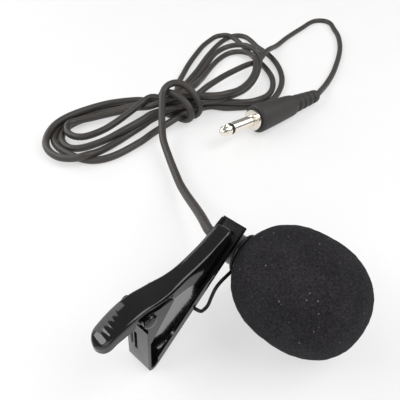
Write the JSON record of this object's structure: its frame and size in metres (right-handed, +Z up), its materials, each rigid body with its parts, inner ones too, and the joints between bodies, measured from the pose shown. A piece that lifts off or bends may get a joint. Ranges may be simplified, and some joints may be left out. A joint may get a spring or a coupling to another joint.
{
  "type": "lavalier microphone",
  "caption": "Tie-clip lavalier microphone with a foam windscreen, sprung clip, wire holder, tied lead and a small two-pole plug.",
  "frame": {"origin": "middle of the underside of the microphone and clip, without the cord, on the surface that they lie on", "axes": "+X along the clip from its tail to its nose, -Y the way the microphone looks, +Z up"},
  "size_m": [0.1962, 0.1237, 0.0216],
  "materials": {
    "foam": "open-cell foam, matt",
    "clip_paint": "gloss black stoved paint",
    "black_wire": "blackened spring wire",
    "housing": "satin grey",
    "rubber": "matt",
    "aluminium": "drawn",
    "felt": "felt",
    "brass": "plain",
    "black_plastic": "moulded",
    "board": "fibreglass board",
    "red_insulation": "extruded",
    "copper": "twisted copper",
    "steel": "plain",
    "cord_jacket": "extruded vinyl, half matt",
    "plug_moulding": "moulded vinyl",
    "nickel": "nickel plate"
  },
  "bodies": {
    "windscreen": {"windscreen": "foam"},
    "microphone": {"mic_housing": "housing", "mic_grille": "housing", "capsule_sleeve": "rubber", "capsule_can": "aluminium", "capsule_felt": "felt", "diaphragm": "brass", "spacer_ring": "black_plastic", "back_plate": "brass", "chamber_ring": "black_plastic", "transistor": "black_plastic", "capsule_board": "board", "signal_wire": "red_insulation", "shield_wire": "copper", "cord_clamp": "steel", "strain_relief": "rubber", "cord_lead": "cord_jacket", "hank_left": "cord_jacket", "hank_tie": "cord_jacket", "hank_right": "cord_jacket", "cord_tail": "cord_jacket", "plug_moulding": "plug_moulding", "plug_sleeve": "nickel", "plug_insulator": "black_plastic", "plug_tip": "nickel", "plug_lug": "nickel"},
    "clip": {"clip_base": "clip_paint", "pivot_pin": "clip_paint", "torsion_spring": "steel", "holder_wire": "black_wire", "holder_rivet": "clip_paint"},
    "lever": {"clip_lever": "clip_paint"}
  },
  "joints": [
    {"name": "windscreen_slide", "type": "slide", "parent": "microphone", "child": "windscreen", "axis": [0, -1, 0], "range_m": [0, 0.03]},
    {"name": "clip_swivel", "type": "hinge", "parent": "microphone", "child": "clip", "pos_m": [0.0107, 0.0115, 0.0108], "axis": [0, 1, 0], "range_deg": [-180, 180]},
    {"name": "lever_pivot", "type": "hinge", "parent": "clip", "child": "lever", "pos_m": [-0.0129, 0.0115, 0.0146], "axis": [0, -1, 0], "range_deg": [0, 30], "stiffness_Nm_per_rad": 0.004, "springref_deg": -60.16, "deforming": ["torsion_spring"]}
  ]
}
